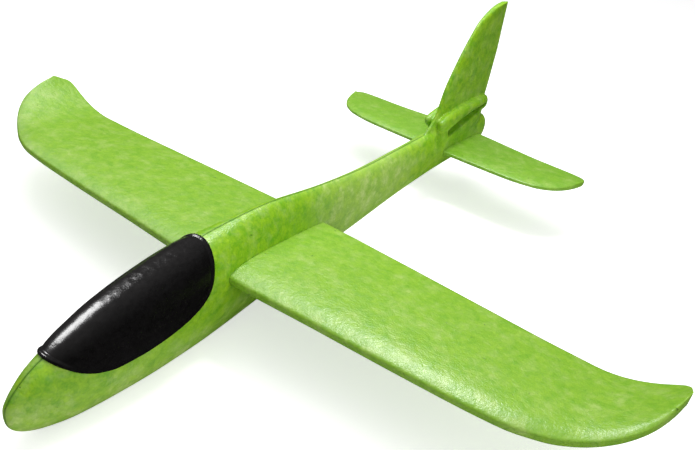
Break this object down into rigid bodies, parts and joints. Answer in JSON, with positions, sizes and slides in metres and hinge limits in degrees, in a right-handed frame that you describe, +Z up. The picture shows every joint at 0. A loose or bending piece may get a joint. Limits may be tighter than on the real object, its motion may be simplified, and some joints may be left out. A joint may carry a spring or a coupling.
{
  "type": "toy airplane",
  "caption": "Hand-launched foam toy glider with a push-through wing and tailplane, an empty upper tail slot, a tall fin, a black canopy and a nose weight.",
  "frame": {"origin": "middle of the bounding box, at the flat of the belly", "axes": "+X to the nose, +Y to the port wing tip, +Z up"},
  "size_m": [0.4768, 0.4828, 0.1592],
  "materials": {
    "lime_foam_body": "satin",
    "lime_foam_wing": "satin",
    "black_canopy": "satin",
    "bare_steel": "satin"
  },
  "bodies": {
    "fuselage": {"fuselage_left_half": "lime_foam_body", "fuselage_right_half": "lime_foam_body", "canopy": "black_canopy", "nose_weight": "bare_steel"},
    "wing": {"main_wing": "lime_foam_wing"},
    "tail": {"tailplane": "lime_foam_wing"}
  },
  "joints": [
    {"name": "wing_slide", "type": "slide", "parent": "fuselage", "child": "wing", "axis": [0, 1, 0], "range_m": [-0.17, 0.17]},
    {"name": "tailplane_slide", "type": "slide", "parent": "fuselage", "child": "tail", "axis": [0, 1, 0], "range_m": [-0.128, 0.128]}
  ]
}
